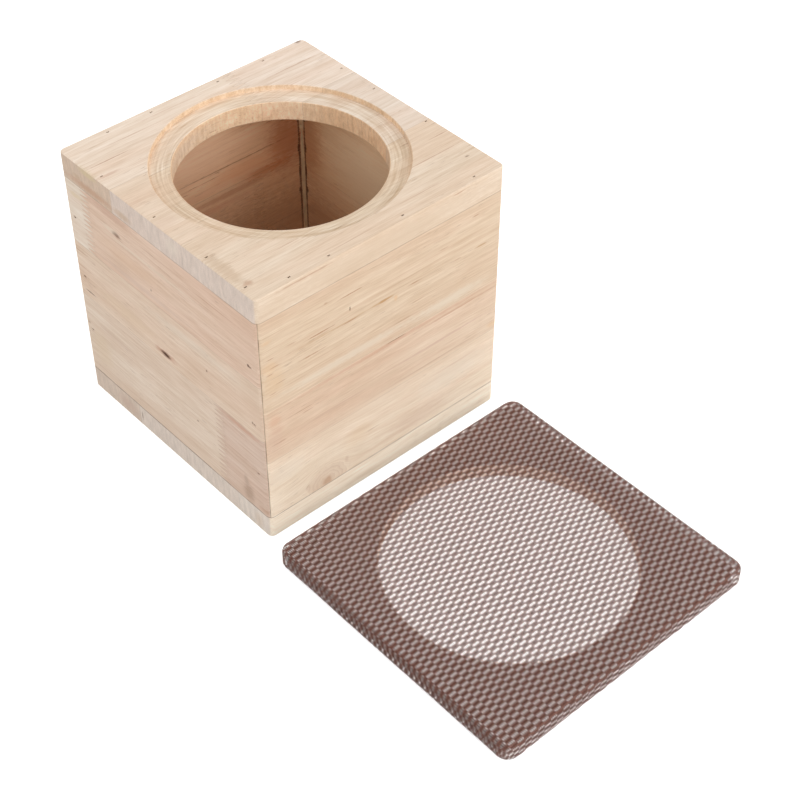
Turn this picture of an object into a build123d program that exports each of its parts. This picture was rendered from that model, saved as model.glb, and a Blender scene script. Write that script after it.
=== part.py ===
from build123d import *
import os

# A cube-shaped wooden box with a round hole in its top, and a lid that is a
# board with a round window, covered in stretched mesh. Millimetres, +Z up.
# The origin is the centre of the box's underside. The front wall faces -Y,
# and the lid lies on the ground in front of it, as it is put down when the
# box is open.
#
# The six boards of the box are glued up from narrow staves. Long staves are
# made from short ones by finger joints: wedge-shaped teeth cut across the
# full thickness, which seat in each other.

# ---- driving dimensions: the box ----
BOX = 200.0  # every outer side of the cube
BOARD = 18.0  # thickness of all six boards
CORNER_RADIUS = 4.0  # the box's upright corners
ARRIS_RADIUS = 1.0  # the edges of the top and bottom faces
HOLE_RADIUS = 69.0  # the hole through the top board
REBATE_RADIUS = 83.0  # the shallow step round the hole
REBATE_DEPTH = 4.0
RIM_BREAK = 0.4  # the sanded edge of the hole and of the step

# ---- driving dimensions: the glued-up boards ----
FINGER_PITCH = 4.0
FINGER_LENGTH = 8.0
FINGER_TIP = 0.6  # the blunt end of each tooth

# Where the staves of each board meet, counted from the board's low edge to
# its high one. Boards that lie flat are divided across Y, walls across Z.
TOP_SEAMS = (-30.0, 43.5)
BOTTOM_SEAMS = (-67.0, -10.0, 43.5)
FRONT_SEAMS = (67.0, 110.5)
LEFT_SEAMS = (86.0, 131.0)
BACK_SEAMS = (74.0, 124.0)
RIGHT_SEAMS = (63.0, 112.0)

# ---- driving dimensions: brads, glue and staples ----
BRAD_LENGTH = 30.0
BRAD_WIDTH = 1.3  # the shank's wide side
BRAD_THICKNESS = 1.1
BRAD_HEAD = 2.1  # across the T of the head
BRAD_HEAD_DEPTH = 0.9
BRAD_POINT = 1.6  # length of the chisel point
BRAD_SET = 0.8  # how far the heads are driven below the wood
BRAD_INSET = 4.5  # from the box's side to a brad through the top or bottom
CORNER_BRAD_INSET = 9.0  # from the box's side to a brad through a mitre

STAPLE_CROWN = 10.0
STAPLE_LEG = 6.0
STAPLE_WIRE = 0.6
STAPLE_WIDTH = 1.2
STAPLE_INSET = 9.0  # from the lid's edge to a staple

# ---- driving dimensions: the lid ----
LID_WIDTH = 207.5  # along X, over the mesh
LID_DEPTH = 206.5  # along Y, over the mesh
LID_CENTRE = (-5.0, -222.0)
MESH = 1.6  # thickness of the coarse mesh cloth
PANEL = 10.0  # thickness of the lid's board
LID_CORNER_RADIUS = 9.0  # over the mesh
LID_EDGE_RADIUS = 3.6  # the top edge, over the mesh
PANEL_CHAMFER = 2.0  # the board's top edge, under the mesh
FOOT_CHAMFER = 1.0  # the lid's lower edge, over the mesh and under it
WINDOW_RADIUS = 83.0
HEM = 18.0  # width of the mesh that is folded under the board

# ---- worked out ----
HALF = BOX / 2
INNER = HALF - BOARD  # from the centre to a wall's inner face
WALL_TOP = BOX - BOARD
WALL_HEIGHT = BOX - 2 * BOARD
LID_HEIGHT = PANEL + 2 * MESH

# A board's sketch plane has the grain along its x and the board's width
# along its y. The number is the extrusion that fills the board's thickness.
TOP_PLANE = (Plane.XY.offset(WALL_TOP), BOARD)
BOTTOM_PLANE = (Plane.XY, BOARD)
FRONT_PLANE = (Plane(origin=(0, -HALF, 0), x_dir=(1, 0, 0), z_dir=(0, -1, 0)), -BOARD)
BACK_PLANE = (Plane(origin=(0, INNER, 0), x_dir=(1, 0, 0), z_dir=(0, -1, 0)), -BOARD)
LEFT_PLANE = (Plane(origin=(-HALF, 0, 0), x_dir=(0, 1, 0), z_dir=(1, 0, 0)), BOARD)
RIGHT_PLANE = (Plane(origin=(INNER, 0, 0), x_dir=(0, 1, 0), z_dir=(1, 0, 0)), BOARD)

os.makedirs("parts", exist_ok=True)


def write(piece, node):
    """Labels one finished piece and writes it to its own STEP file."""
    piece.label = node
    export_step(piece, f"parts/{node}.step")


# ---- where the brads go ----

BRAD_LINE = HALF - BRAD_INSET
MITRE_LINE = HALF - CORNER_BRAD_INSET
# Along the front, back, left and right edges of the top and bottom boards.
TOP_BRADS = (
    [(x, -BRAD_LINE) for x in (-71.0, -41.0, 17.5, 77.0)]
    + [(x, BRAD_LINE) for x in (-65.0, -31.0, 23.5, 62.0)]
    + [(-BRAD_LINE, y) for y in (-86.0, -49.0, 3.0, 58.5)]
    + [(BRAD_LINE, y) for y in (-31.0, 20.0, 53.0)]
)
BOTTOM_BRADS = (
    [(x, -BRAD_LINE) for x in (-60.0, 0.0, 60.0)]
    + [(x, BRAD_LINE) for x in (-60.0, 0.0, 60.0)]
    + [(-BRAD_LINE, y) for y in (-62.0, 4.0, 62.0)]
    + [(BRAD_LINE, y) for y in (-62.0, 4.0, 62.0)]
)
# Through the left and right walls into the mitres: Y and Z of each.
CORNER_BRADS = (
    [(-MITRE_LINE, z) for z in (53.5, 96.0, 143.5)]
    + [(MITRE_LINE, z) for z in (56.0, 103.0, 152.0)]
)

# Each group's planes lie on the wood, with z out of it and x along the T.
BRAD_FACES = {
    "top_brads": [Plane(origin=(x, y, BOX)) for x, y in TOP_BRADS],
    "bottom_brads": [
        Plane(origin=(x, y, 0), z_dir=(0, 0, -1)) for x, y in BOTTOM_BRADS
    ],
    "left_corner_brads": [
        Plane(origin=(-HALF, y, z), x_dir=(0, 1, 0), z_dir=(-1, 0, 0))
        for y, z in CORNER_BRADS
    ],
    "right_corner_brads": [
        Plane(origin=(HALF, y, z), x_dir=(0, 1, 0), z_dir=(1, 0, 0))
        for y, z in CORNER_BRADS
    ],
}


# ---- boards before they are divided into staves ----


def with_brad_holes(board, node):
    """A board with the small hole that each set brad leaves above its head."""
    with BuildPart() as drilled:
        add(board)
        for face in BRAD_FACES[node]:
            with BuildSketch(face):
                Rectangle(BRAD_HEAD, BRAD_THICKNESS)
            extrude(amount=-BRAD_SET, mode=Mode.SUBTRACT)
    return drilled.part


def wall_blank(turn):
    """One wall, mitred at both ends. At turn 0 it is the front wall."""
    with BuildPart() as blank:
        with BuildSketch(Plane.XY.offset(BOARD).rotated((0, 0, turn))):
            RectangleRounded(BOX, BOX, CORNER_RADIUS)
            with BuildLine():
                Polyline(
                    (-HALF, -HALF),
                    (HALF, -HALF),
                    (INNER, -INNER),
                    (-INNER, -INNER),
                    close=True,
                )
            make_face(mode=Mode.INTERSECT)
        extrude(amount=WALL_HEIGHT)
    return blank.part


def flat_blank(bottom):
    """A whole top or bottom board, with its outer face's edges eased."""
    with BuildPart() as blank:
        with BuildSketch(Plane.XY.offset(0 if bottom else WALL_TOP)):
            RectangleRounded(BOX, BOX, CORNER_RADIUS)
        extrude(amount=BOARD)
        layers = blank.edges().group_by(Axis.Z)
        fillet(layers[0] if bottom else layers[-1], radius=ARRIS_RADIUS)
    return blank.part


def top_blank():
    """The top board with the hole and the step round it."""
    with BuildPart() as blank:
        add(flat_blank(bottom=False))
        with Locations((0, 0, BOX)):
            CounterBoreHole(HOLE_RADIUS, REBATE_RADIUS, REBATE_DEPTH, BOARD)
        circles = blank.edges().filter_by(GeomType.CIRCLE)
        wide = circles.filter_by(lambda edge: edge.radius > HOLE_RADIUS - 1)
        rims = wide.filter_by(lambda edge: edge.center().Z > WALL_TOP + 1)
        outer_rim = rims.sort_by(Axis.Z)[-1]
        inner_rim = rims.sort_by(lambda edge: edge.radius)[0]
        chamfer([outer_rim, inner_rim], length=RIM_BREAK)
    return blank.part


# ---- staves and finger joints ----


def finger_line(middle, low, high):
    """The zigzag of one finger joint, from a stave's low edge to its high one.

    The teeth are blunt wedges. Their pitch is stretched a little so that a
    whole number of them fills the stave.
    """
    count = round((high - low) / FINGER_PITCH)
    pitch = (high - low) / count
    near = middle - FINGER_LENGTH / 2
    far = middle + FINGER_LENGTH / 2
    points = [(near, low)]
    for tooth in range(count):
        root = low + tooth * pitch
        points.append((near, root + FINGER_TIP / 2))
        points.append((far, root + (pitch - FINGER_TIP) / 2))
        points.append((far, root + (pitch + FINGER_TIP) / 2))
        points.append((near, root + pitch - FINGER_TIP / 2))
    points.append((near, high))
    return points


def stave_end(place, low, high):
    """One end of a stave: a finger joint, or straight past the board's edge."""
    if abs(place) < HALF:
        return finger_line(place, low, high)
    return [(place, low), (place, high)]


def stave(blank, board_plane, low, high, start=-BOX, end=BOX):
    """The part of a blank between two glue lines and between two ends."""
    plane, thickness = board_plane
    with BuildPart() as piece:
        with BuildSketch(plane):
            with BuildLine():
                left = stave_end(start, low, high)
                right = stave_end(end, low, high)
                Polyline(*left, *reversed(right), close=True)
            make_face()
        extrude(amount=thickness)
        add(blank, mode=Mode.INTERSECT)
    return piece.part


# Each board: its blank, its plane, its edges and seams from low to high, and
# the names and the finger joint of each row of staves. A row is two pieces
# where it has a finger joint, and where the hole cuts its stave in two. Its
# names go from the low end of the row to the high one.
BOARDS = (
    (
        "top_board",
        with_brad_holes(top_blank(), "top_brads"),
        TOP_PLANE,
        (-HALF, *TOP_SEAMS, HALF),
        (
            (("front",), None),
            (("middle_left", "middle_right"), None),
            (("back_long", "back_short"), 32.0),
        ),
    ),
    (
        "bottom_board",
        with_brad_holes(flat_blank(bottom=True), "bottom_brads"),
        BOTTOM_PLANE,
        (-HALF, *BOTTOM_SEAMS, HALF),
        (
            (("front",), None),
            (("middle_short", "middle_long"), -38.0),
            (("centre",), None),
            (("back",), None),
        ),
    ),
    (
        "front_wall",
        wall_blank(0),
        FRONT_PLANE,
        (BOARD, *FRONT_SEAMS, WALL_TOP),
        ((("lower",), None), (("middle",), None), (("upper",), None)),
    ),
    (
        "back_wall",
        wall_blank(180),
        BACK_PLANE,
        (BOARD, *BACK_SEAMS, WALL_TOP),
        (
            (("lower",), None),
            (("middle_long", "middle_short"), 41.0),
            (("upper",), None),
        ),
    ),
    (
        "left_wall",
        with_brad_holes(wall_blank(270), "left_corner_brads"),
        LEFT_PLANE,
        (BOARD, *LEFT_SEAMS, WALL_TOP),
        (
            (("lower_short", "lower_long"), -53.0),
            (("middle",), None),
            (("upper_long", "upper_short"), 76.0),
        ),
    ),
    (
        "right_wall",
        with_brad_holes(wall_blank(90), "right_corner_brads"),
        RIGHT_PLANE,
        (BOARD, *RIGHT_SEAMS, WALL_TOP),
        (
            (("lower",), None),
            (("middle",), None),
            (("upper_short", "upper_long"), -24.0),
        ),
    ),
)

for board, blank, board_plane, edges_of_rows, rows in BOARDS:
    for row, (names, joint) in enumerate(rows):
        low, high = edges_of_rows[row], edges_of_rows[row + 1]
        if joint is None:
            whole = stave(blank, board_plane, low, high)
            pieces = whole.solids().sort_by(Axis.X)
        else:
            before = stave(blank, board_plane, low, high, end=joint)
            after = stave(blank, board_plane, low, high, start=joint)
            pieces = (before, after)
        for name, piece in zip(names, pieces):
            write(piece, f"{board}_{name}")


# ---- glue beads up the four inner corners ----

# Height above the box's underside, and how far the glue reaches from the
# corner along each wall. It is pinched where the gun was lifted.
BEAD_SECTIONS = (
    (BOARD, 1.9),
    (60.0, 1.5),
    (104.0, 1.8),
    (136.0, 1.5),
    (140.0, 0.7),
    (144.0, 1.9),
    (WALL_TOP, 2.4),
)


def glue_bead(turn):
    """A bead of glue that fills one inner corner, at turn 0 the right rear."""
    with BuildPart() as bead:
        for height, reach in BEAD_SECTIONS:
            with BuildSketch(Plane.XY.offset(height).rotated((0, 0, turn))):
                with BuildLine():
                    Polyline(
                        (INNER, INNER),
                        (INNER - reach, INNER),
                        (INNER, INNER - reach),
                        close=True,
                    )
                make_face()
        loft(ruled=True)
    return bead.part


for turn, corner in ((0, "back_right"), (90, "back_left"), (180, "front_left"), (270, "front_right")):
    write(glue_bead(turn), f"glue_bead_{corner}")


# ---- brads: thin rectangular nails with a small T head ----


def brads(faces):
    """A group of brads, each driven in through one plane on the wood."""
    with BuildPart() as group:
        for face in faces:
            profile = Plane(origin=face.origin, x_dir=face.x_dir, z_dir=-face.y_dir)
            with BuildSketch(profile):
                with BuildLine():
                    Polyline(
                        (-BRAD_HEAD / 2, -BRAD_SET),
                        (BRAD_HEAD / 2, -BRAD_SET),
                        (BRAD_HEAD / 2, -BRAD_SET - BRAD_HEAD_DEPTH),
                        (BRAD_WIDTH / 2, -BRAD_SET - BRAD_HEAD_DEPTH),
                        (BRAD_WIDTH / 2, BRAD_POINT - BRAD_LENGTH),
                        (0, -BRAD_LENGTH),
                        (-BRAD_WIDTH / 2, BRAD_POINT - BRAD_LENGTH),
                        (-BRAD_WIDTH / 2, -BRAD_SET - BRAD_HEAD_DEPTH),
                        (-BRAD_HEAD / 2, -BRAD_SET - BRAD_HEAD_DEPTH),
                        close=True,
                    )
                make_face()
            extrude(amount=BRAD_THICKNESS / 2, both=True)
    return group.part


for node, faces in BRAD_FACES.items():
    write(brads(faces), node)


# ---- the lid: a board with a window, its mesh and the staples under it ----


def lid_plane(height):
    """A level plane through the lid's own centre."""
    return Plane(origin=(LID_CENTRE[0], LID_CENTRE[1], height))


def lid_slab(skin):
    """The lid's rounded square slab: the bare board, or all of it with the mesh.

    The board's top edge is chamfered, and the cloth over it bends round.
    """
    inward = MESH - skin
    with BuildPart() as slab:
        with BuildSketch(lid_plane(inward)):
            RectangleRounded(
                LID_WIDTH - 2 * inward,
                LID_DEPTH - 2 * inward,
                LID_CORNER_RADIUS - inward,
            )
        extrude(amount=PANEL + 2 * skin)
        if skin:
            fillet(slab.edges().group_by(Axis.Z)[-1], radius=LID_EDGE_RADIUS)
        else:
            chamfer(slab.edges().group_by(Axis.Z)[-1], length=PANEL_CHAMFER)
        chamfer(slab.edges().group_by(Axis.Z)[0], length=FOOT_CHAMFER)
    return slab.part


panel_slab = lid_slab(0)

with BuildPart() as lid_panel:
    add(panel_slab)
    with Locations((LID_CENTRE[0], LID_CENTRE[1], LID_HEIGHT)):
        Hole(WINDOW_RADIUS)
write(lid_panel.part, "lid_panel")

# The cloth goes over the board and its window, down the sides and under.
with BuildPart() as lid_mesh:
    add(lid_slab(MESH))
    add(panel_slab, mode=Mode.SUBTRACT)
    with BuildSketch(lid_plane(0)):
        Rectangle(LID_WIDTH - 2 * HEM, LID_DEPTH - 2 * HEM)
    extrude(amount=2 * MESH, mode=Mode.SUBTRACT)
write(lid_mesh.part, "lid_mesh")

with BuildPart() as lid_staples:
    for turn, half_length in ((0, LID_DEPTH / 2), (90, LID_WIDTH / 2)):
        for side in (-1, 1):
            for step in (-72.0, -36.0, 0.0, 36.0, 72.0):
                across = side * (half_length - STAPLE_INSET)
                middle = Vector(step, across, 0).rotate(Axis.Z, turn)
                base = lid_plane(0).origin + middle
                along = Vector(1, 0, 0).rotate(Axis.Z, turn)
                with BuildSketch(Plane(origin=base, x_dir=along, z_dir=along.cross(Vector(0, 0, 1)))):
                    with Locations((0, STAPLE_LEG / 2)):
                        Rectangle(STAPLE_CROWN, STAPLE_LEG)
                    with Locations((0, STAPLE_LEG / 2 + STAPLE_WIRE)):
                        Rectangle(
                            STAPLE_CROWN - 2 * STAPLE_WIRE,
                            STAPLE_LEG,
                            mode=Mode.SUBTRACT,
                        )
                extrude(amount=STAPLE_WIDTH / 2, both=True)
write(lid_staples.part, "lid_staples")
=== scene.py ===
"""Dresses a wooden box with a stepped round hole and its mesh-covered lid.

The CAD model gives every board, stave, nail and staple its shape and place. This
script gives them their finishes, weaves the lid's mesh thread by thread, and sets
up the studio and the camera. Lengths in the shader groups, marks, knots, joints and
seams are in millimetres, and all other lengths are in metres.
"""

import logging
import math
from dataclasses import dataclass, field, fields, replace
from enum import Enum
from typing import Callable

import bpy
import numpy as np
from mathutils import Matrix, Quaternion, Vector


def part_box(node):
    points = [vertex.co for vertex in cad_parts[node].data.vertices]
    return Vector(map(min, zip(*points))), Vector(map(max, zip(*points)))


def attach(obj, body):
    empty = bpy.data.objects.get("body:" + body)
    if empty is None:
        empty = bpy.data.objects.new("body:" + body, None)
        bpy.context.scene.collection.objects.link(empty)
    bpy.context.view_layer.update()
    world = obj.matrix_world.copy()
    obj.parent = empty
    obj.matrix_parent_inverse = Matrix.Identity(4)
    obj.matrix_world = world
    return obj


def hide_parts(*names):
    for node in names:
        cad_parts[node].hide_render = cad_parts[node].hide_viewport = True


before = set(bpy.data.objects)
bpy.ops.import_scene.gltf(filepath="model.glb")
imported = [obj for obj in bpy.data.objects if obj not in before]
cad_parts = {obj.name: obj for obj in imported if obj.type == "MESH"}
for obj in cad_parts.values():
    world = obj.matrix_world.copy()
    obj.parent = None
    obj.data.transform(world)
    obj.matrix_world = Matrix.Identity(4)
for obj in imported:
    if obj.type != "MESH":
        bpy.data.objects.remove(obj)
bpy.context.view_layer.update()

log = logging.getLogger("box")

Triple = tuple[float, float, float]
Colour = Triple
Inputs = dict[str | int, object]
MM = 0.001
WHITE: Colour = (1.0, 1.0, 1.0)


# ---------------------------------------------------------------------------
# Shader graphs


def _operator(operation: str, swapped: bool = False) -> Callable[["Value", object], "Value"]:
    """Makes an operator of Value.

    Args:
        operation: The node's operation.
        swapped: Whether the other side comes first.

    Returns:
        The method.
    """

    def method(value: "Value", other: object) -> "Value":
        """Adds the node."""
        return value.graph.combine(operation, *((other, value) if swapped else (value, other)))

    return method


class Value:
    """A socket's value, with operators that add nodes, so a graph reads as a formula."""

    def __init__(self, graph: "Graph", socket: bpy.types.NodeSocket) -> None:
        """Wraps an output socket of a node in a graph."""
        self.graph = graph
        self.socket = socket

    __add__ = __radd__ = _operator("ADD")
    __sub__ = _operator("SUBTRACT")
    __rsub__ = _operator("SUBTRACT", swapped=True)
    __mul__ = __rmul__ = _operator("MULTIPLY")
    __truediv__ = _operator("DIVIDE")
    __pow__ = _operator("POWER")

    def abs(self) -> "Value":
        """The distance from 0."""
        return self.graph.math("ABSOLUTE", self)

    def fract(self) -> "Value":
        """The part after the decimal point."""
        return self.graph.math("FRACT", self)

    def root(self) -> "Value":
        """The square root."""
        return self.graph.math("SQRT", self)

    def clamp(self) -> "Value":
        """The value held between 0 and 1."""
        return self.graph.math("ADD", self, 0.0, clamp=True)

    def swing(self, amount: float) -> "Value":
        """Noise from 0 to 1 as a swing to both sides of 0."""
        return (self - 0.5) * amount

    def step(self, low: float, high: float) -> "Value":
        """0 below low, 1 above high and smooth between; it falls if low is above high.

        Args:
            low: Where it begins.
            high: Where it ends.

        Returns:
            The step.
        """
        ends = {"From Min": min(low, high), "From Max": max(low, high)}
        if low > high:
            ends.update({"To Min": 1.0, "To Max": 0.0})
        inputs = {"Value": self, **ends}
        return self.graph.value("ShaderNodeMapRange", "Result", inputs, interpolation_type="SMOOTHSTEP")


class Pattern(Enum):
    """Noises: cycles per millimetre along each of three axes, then detail and roughness."""

    # Along, across and through a board.
    SWAY = (0.007, 0.02, 0.02)
    RIPPLE = (0.035, 0.12, 0.12)
    FAINT = (0.014, 0.06, 0.06)
    BAND = (0.005, 0.045, 0.045, 3.0)
    STREAK = (0.012, 0.34, 0.34, 4.0, 0.65)
    FIBRE = (0.055, 1.5, 1.5, 3.0, 0.6)
    CLOUD = (0.022, 0.13, 0.13, 2.0, 0.6)
    DRIFT = (0.012, 0.05, 0.05)
    DASH = (0.10, 1.35, 1.35, 1.0)
    RAGGED = (0.22, 0.9, 0.9, 3.0)
    STAINED = (0.03, 1.1, 1.1, 4.0, 0.6)
    SPECKS = (0.4, 1.5, 1.5, 3.0, 0.7)
    RAYS = (0.1, 0.35, 0.10, 3.0, 0.6)
    WOBBLE = (0.22, 0.22, 0.22)
    LINE_GAPS = (0.3, 0.5, 0.5)
    SEAM_GAPS = (0.05, 0.05, 0.05, 3.0)
    # Sideways, from front to back and up.
    CHATTER = (0.45, 0.45, 0.16, 3.0, 0.7)
    LUMPS = (0.4, 0.4, 0.16, 3.0)
    TARNISH = (1.3, 1.3, 1.3, 3.0)
    BLOTCH = (0.04, 0.04, 0.2)
    PATCHES = (0.5, 0.5, 0.5)
    FINE = (4.0, 4.0, 4.0)


def label(name: str) -> str:
    """A socket's name from an argument's name."""
    return name.replace("_", " ")


class Graph:
    """Adds nodes to one shader tree, with constants and values as plain arguments."""

    def __init__(self, tree: bpy.types.NodeTree) -> None:
        """Starts writing into a material's, a world's or a group's tree."""
        self.tree = tree

    def put(self, socket: bpy.types.NodeSocket, value: object) -> None:
        """Links a socket to a value, or sets it to a constant.

        Args:
            socket: An input socket.
            value: A value, or a constant: colours have three numbers, and one number fills a vector.
        """
        if isinstance(value, Value):
            self.tree.links.new(value.socket, socket)
        elif socket.type == "RGBA":
            socket.default_value = (*value, 1.0)
        elif socket.type == "VECTOR" and not isinstance(value, tuple):
            socket.default_value = (value,) * 3
        else:
            socket.default_value = value

    def node(self, kind: str, inputs: Inputs, **settings: object) -> bpy.types.Node:
        """A new node with its properties and inputs set.

        Args:
            kind: The node's type.
            inputs: Its inputs by name or index.
            settings: Its properties.

        Returns:
            The node.
        """
        made = self.tree.nodes.new(kind)
        for name, setting in settings.items():
            setattr(made, name, setting)
        for key, value in inputs.items():
            self.put(made.inputs[key], value)
        return made

    def value(self, kind: str, output: str | int, inputs: Inputs, **settings: object) -> Value:
        """One output of a new node."""
        return Value(self, self.node(kind, inputs, **settings).outputs[output])

    def math(self, operation: str, a: object, b: object = 0.0, clamp: bool = False) -> Value:
        """The result of one operation on numbers."""
        return self.value("ShaderNodeMath", 0, {0: a, 1: b}, operation=operation, use_clamp=clamp)

    def combine(self, operation: str, a: object, b: object) -> Value:
        """The result of one operation, on vectors if either side is one.

        Args:
            operation: The node's operation.
            a: The first side.
            b: The second side.

        Returns:
            The result.
        """
        for side in (a, b):
            if isinstance(side, tuple) or (isinstance(side, Value) and side.socket.type != "VALUE"):
                return self.value("ShaderNodeVectorMath", "Vector", {0: a, 1: b}, operation=operation)
        return self.math(operation, a, b)

    def length(self, place: Value) -> Value:
        """The length of a vector."""
        return self.value("ShaderNodeVectorMath", "Value", {0: place}, operation="LENGTH")

    def dot(self, a: Value, b: Value) -> Value:
        """The dot product of two vectors."""
        return self.value("ShaderNodeVectorMath", "Value", {0: a, 1: b}, operation="DOT_PRODUCT")

    def split(self, place: Value) -> tuple[Value, ...]:
        """The three components of a vector."""
        outputs = self.node("ShaderNodeSeparateXYZ", {0: place}).outputs
        return tuple(Value(self, output) for output in outputs)

    def join(self, x: object, y: object, z: object) -> Value:
        """A vector from three components."""
        return self.value("ShaderNodeCombineXYZ", 0, {0: x, 1: y, 2: z})

    def noise(self, place: Value, detail: float = 2.0, rough: float = 0.5) -> Value:
        """Noise from 0 to 1 with a scale of 1, so the place carries the scale."""
        inputs = {"Vector": place, "Scale": 1.0, "Detail": detail, "Roughness": rough}
        return self.value("ShaderNodeTexNoise", "Fac", inputs, noise_dimensions="3D")

    def pattern(self, place: Value, pattern: Pattern) -> Value:
        """One of the named noises at a place in millimetres."""
        return self.noise(place * pattern.value[:3], *pattern.value[3:])

    def mix(self, amount: object, under: object, over: object) -> Value:
        """Two colours mixed by a share."""
        return self.value("ShaderNodeMix", 2, {0: amount, 6: under, 7: over}, data_type="RGBA")

    def group(self, tree: bpy.types.NodeTree, **values: object) -> dict[str, Value]:
        """Places a shader group.

        Args:
            tree: The group.
            values: Its inputs by name (spaces as underscores).

        Returns:
            Its outputs by name.
        """
        inputs = {label(name): value for name, value in values.items()}
        outputs = self.node("ShaderNodeGroup", inputs, node_tree=tree).outputs
        return {output.name: Value(self, output) for output in outputs}


class Kind(Enum):
    """The socket types that the shader groups use."""

    NUMBER = "NodeSocketFloat"
    PLACE = "NodeSocketVector"
    COLOUR = "NodeSocketColor"


Given = Callable[[str], Value]
Made = dict[str, Value]
Fill = Callable[[Graph, Given], Made]
Sockets = dict[Kind, tuple[str, ...]]


def shader_group(name: str, fill: Fill, takes: Sockets, gives: Sockets) -> bpy.types.NodeTree:
    """Makes one shader group.

    Args:
        name: The group's name.
        fill: Adds the nodes and returns the value for each output.
        takes: The names of its input sockets.
        gives: The names of its output sockets.

    Returns:
        The group's tree.
    """
    tree = bpy.data.node_groups.new(name, "ShaderNodeTree")
    for side, sockets in (("INPUT", takes), ("OUTPUT", gives)):
        for kind, names in sockets.items():
            for socket in names:
                tree.interface.new_socket(socket, in_out=side, socket_type=kind.value)
    graph = Graph(tree)
    source = graph.node("NodeGroupInput", {})
    made = fill(graph, lambda socket: Value(graph, source.outputs[socket]))
    graph.node("NodeGroupOutput", made)
    return tree


# The groups' contents. The two numbers of a step are where it begins and where it ends.

SEEDS_APART: Triple = (913.0, 331.0, 127.0)


def fill_grain(g: Graph, given: Given) -> Made:
    """Sawn softwood: growth rings, drawn-out streaks, fibres and dark pores.

    Args:
        g: The group's graph.
        given: The group's inputs by name.

    Returns:
        The group's outputs by name.
    """
    seed = given("Seed")
    place = given("Board") + seed * SEEDS_APART
    _, across, through = g.split(given("Board"))
    # The rings: circles round a pith line beside the stave, bent by noise.
    bend = g.pattern(place, Pattern.SWAY).swing(12.0) + g.pattern(place, Pattern.RIPPLE).swing(1.8)
    off = across - given("Pith Across") + bend
    deep = through - given("Pith Depth")
    radius = (off * off + deep * deep).root()
    uneven = g.noise(g.join(radius * 0.11, seed, 0.0))
    phase = (radius / given("Ring Pitch") + uneven * 3.0).fract()
    late = phase ** 3.0 * phase.step(1.0, 0.88) * g.pattern(place, Pattern.FAINT).step(0.32, 0.62)
    # Broad bands of warmer wood, and fine light and dark fibres.
    band = g.pattern(place, Pattern.BAND).step(0.38, 0.68)
    streak = g.pattern(place, Pattern.STREAK)
    fibre = g.pattern(place, Pattern.FIBRE)
    tone = streak.swing(0.34) + 1.0 + fibre.swing(0.52) + g.pattern(place, Pattern.CLOUD).swing(0.30)
    # Pores: short dark dashes, in drifts.
    drift = g.pattern(place, Pattern.DRIFT).step(0.42, 0.60)
    pore = g.pattern(place, Pattern.DASH).step(0.66, 0.76) * drift * given("Pores")
    colour = g.mix(late * given("Ring Contrast"), given("Light"), given("Dark"))
    colour = g.mix(band * given("Bands"), colour, given("Warm"))
    # Where it is darker, it is also warmer.
    colour = colour * g.join(tone ** 0.72, tone, tone ** 1.32)
    return {
        "Colour": g.mix(pore * 0.6, colour, given("Pore Colour")),
        "Height": fibre * 0.5 + streak * 0.5 - pore * 1.2,
        "Roughness": fibre * 0.16 + 0.56,
        "Ragged": g.pattern(place, Pattern.RAGGED),
    }


def fill_end_grain(g: Graph, given: Given) -> Made:
    """Greyer wood with fine specks where a cut crosses the grain.

    Args:
        g: The group's graph.
        given: The group's inputs by name.

    Returns:
        The group's outputs by name.
    """
    facing = g.dot(given("Normal"), given("Grain")).abs()
    specks = g.pattern(given("Board"), Pattern.SPECKS)
    rays = g.pattern(given("Board"), Pattern.RAYS)
    cut = given("Cut Colour") * (specks * 0.50 + 0.75) * (rays * 0.60 + 0.70)
    return {"Colour": g.mix(facing.step(0.72, 0.94) * 0.85, given("Colour"), cut)}


def fill_knot(g: Graph, given: Given) -> Made:
    """A knot: the grain flows round it, and it has rings and a dark heart.

    Args:
        g: The group's graph.
        given: The group's inputs by name.

    Returns:
        The group's outputs by name.
    """
    board, centre, radius = given("Board"), given("Centre"), given("Radius")
    along, across, through = g.split(board - centre)
    near = along * 0.8
    square = near * near + across * across
    core = radius * radius
    # Lines of flow round a cylinder, so the grain parts before the knot and closes after it.
    share = core / g.math("MAXIMUM", square, core * 1.05)
    reach = square.root() / radius + g.pattern(board, Pattern.WOBBLE).swing(0.35)
    return {
        "Bent": g.join(along, across - across * share, through) + centre,
        "Inside": reach.step(1.1, 0.85),
        "Rings": (reach * 4.6).fract() ** 2.0 * 0.55 * reach.step(1.5, 0.9),
        "Heart": reach.step(0.42, 0.12),
    }


def fill_routed(g: Graph, given: Given) -> Made:
    """Where the cutter went: the hole's wall, the ring's floor and the step outside it.

    Args:
        g: The group's graph.
        given: The group's inputs by name.

    Returns:
        The group's outputs by name.
    """
    x, y, z = g.split(given("Place"))
    reach = (x * x + y * y).root()
    in_ring = (reach - given("Ring")).step(0.35, 0.15)
    in_hole = (reach - given("Hole")).step(0.30, 0.10)
    low = (z - given("Floor")).step(0.6, 0.3)
    step = in_ring * (1.0 - low)
    floor = in_ring * low * (1.0 - in_hole)
    turned = g.noise(g.join(reach * 0.75, x * 0.035, y * 0.035), 2.0, 0.6)
    chatter = g.pattern(given("Place"), Pattern.CHATTER)
    lines = floor * (turned - 0.5) + (in_hole + step).clamp() * (chatter - 0.5)
    return {"Wall": in_hole, "Floor": floor, "Step": step, "Lines": lines}


def fill_inside(g: Graph, given: Given) -> Made:
    """The faces that look into the box.

    Args:
        g: The group's graph.
        given: The group's inputs by name.

    Returns:
        The group's outputs by name.
    """
    x, y, z = g.split(given("Place"))
    reach = g.math("MAXIMUM", x.abs(), y.abs())
    return {"Mask": (reach - given("Half")).step(0.5, 0.2) * (z - given("Bottom")).step(-0.6, -0.3)}


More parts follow.
